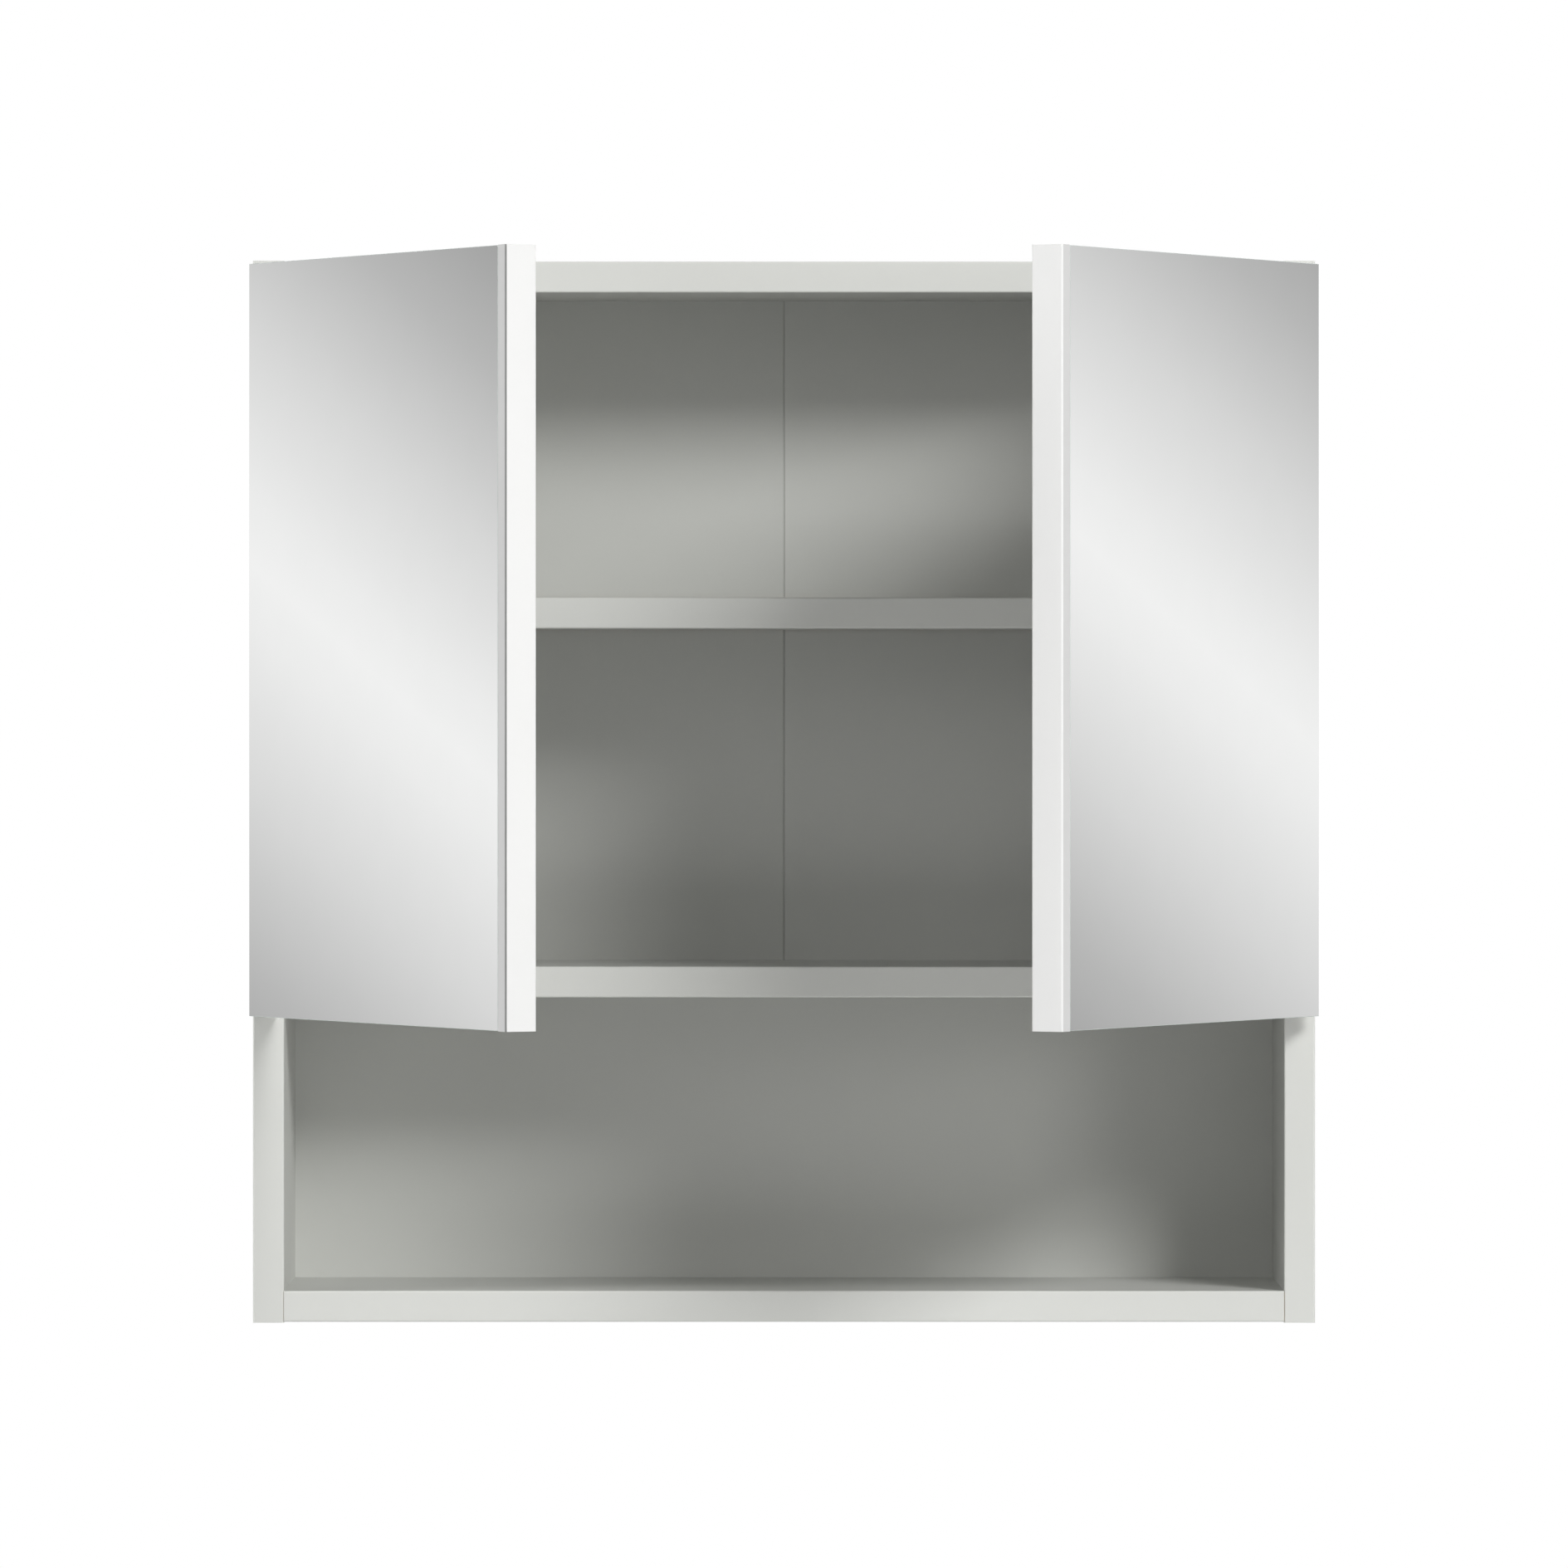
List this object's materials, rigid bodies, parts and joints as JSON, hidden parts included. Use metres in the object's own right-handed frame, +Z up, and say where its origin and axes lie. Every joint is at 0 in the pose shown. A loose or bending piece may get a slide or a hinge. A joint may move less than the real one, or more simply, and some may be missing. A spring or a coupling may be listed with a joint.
{
  "type": "hanging wall cabinet",
  "caption": "Shallow square hanging wall cabinet with mirrored doors on concealed cup hinges over a shelved bay, and an open niche below.",
  "frame": {"origin": "midway between the two hanger holes, on the wall plane", "axes": "+Z up, +Y into the wall, so the doors face -Y, +X to the viewer's right"},
  "size_m": [0.603, 0.4128, 0.6],
  "materials": {
    "carcass_board": "light grey melamine foil on particle board, fine matt grain",
    "door_board": "white melamine foil on particle board, matt",
    "back_board": "light grey painted fibreboard in front, raw brown fibreboard behind",
    "fold_tape": "paper tape",
    "dowel_wood": "raw beech, fluted",
    "zinc": "die-cast zinc, dull",
    "yellow_zinc_steel": "yellow passivated steel",
    "nickel_steel": "nickel-plated steel, satin",
    "galvanised_steel": "galvanised sheet steel",
    "screw_steel": "bright zinc-plated steel",
    "mirror_glass": "clear float glass silvered behind, polished edge",
    "mount_tape": "white foam tape",
    "bumper": "clear soft polyurethane"
  },
  "bodies": {
    "root": {"side_panel_left": "carcass_board", "side_panel_right": "carcass_board", "top_panel": "carcass_board", "middle_panel": "carcass_board", "bottom_panel": "carcass_board", "back_upper_left": "back_board", "back_upper_right": "back_board", "back_fold_tape": "fold_tape", "back_lower": "back_board", "shelf": "carcass_board", "shelf_pins": "nickel_steel", "cam_locks": "zinc", "cam_bolts": "yellow_zinc_steel", "dowels": "dowel_wood", "hanger_plate_left": "galvanised_steel", "hanger_plate_right": "galvanised_steel", "hanger_screws": "screw_steel", "hinge_plates_left": "nickel_steel", "hinge_plates_right": "nickel_steel", "hinge_plate_screws": "screw_steel", "hinge_arms_left": "nickel_steel", "hinge_arms_right": "nickel_steel", "hinge_arm_pins_left": "nickel_steel", "hinge_arm_pins_right": "nickel_steel", "hinge_adjusters": "screw_steel"},
    "left_outer_links": {"outer_links_left": "nickel_steel"},
    "left_inner_links": {"inner_links_left": "nickel_steel"},
    "left_door": {"hinge_cups_left": "nickel_steel", "cup_screws_left": "nickel_steel", "door_board_left": "door_board", "door_mirror_left": "mirror_glass", "mirror_tape_left": "mount_tape", "door_bumpers_left": "bumper"},
    "right_outer_links": {"outer_links_right": "nickel_steel"},
    "right_inner_links": {"inner_links_right": "nickel_steel"},
    "right_door": {"hinge_cups_right": "nickel_steel", "cup_screws_right": "nickel_steel", "door_board_right": "door_board", "door_mirror_right": "mirror_glass", "mirror_tape_right": "mount_tape", "door_bumpers_right": "bumper"}
  },
  "joints": [
    {"name": "left_door_swing", "type": "hinge", "parent": "left_outer_links", "child": "left_door", "pos_m": [-0.28244, -0.1587, -0.16935], "axis": [0, 0, -1], "range_deg": [-79, 47.35]},
    {"name": "left_outer_links_turn", "type": "hinge", "parent": "root", "child": "left_outer_links", "pos_m": [-0.2615, -0.1385, -0.16935], "axis": [0, 0, -1], "range_deg": [-11.85, 19.7]},
    {"name": "left_inner_links_turn", "type": "hinge", "parent": "root", "child": "left_inner_links", "pos_m": [-0.2545, -0.141, -0.16935], "axis": [0, 0, -1], "range_deg": [-5.08, 8.42]},
    {"name": "right_door_swing", "type": "hinge", "parent": "right_outer_links", "child": "right_door", "pos_m": [0.28244, -0.1587, -0.16935], "axis": [0, 0, 1], "range_deg": [-79, 47.35]},
    {"name": "right_outer_links_turn", "type": "hinge", "parent": "root", "child": "right_outer_links", "pos_m": [0.2615, -0.1385, -0.16935], "axis": [0, 0, 1], "range_deg": [-11.85, 19.7]},
    {"name": "right_inner_links_turn", "type": "hinge", "parent": "root", "child": "right_inner_links", "pos_m": [0.2545, -0.141, -0.16935], "axis": [0, 0, 1], "range_deg": [-5.08, 8.42]}
  ],
  "couplings": [
    {"joint": "left_outer_links_turn", "follows": "left_door_swing", "ratio": -0.24812},
    {"joint": "left_inner_links_turn", "follows": "left_door_swing", "ratio": -0.10526},
    {"joint": "right_outer_links_turn", "follows": "right_door_swing", "ratio": -0.24812},
    {"joint": "right_inner_links_turn", "follows": "right_door_swing", "ratio": -0.10526}
  ]
}
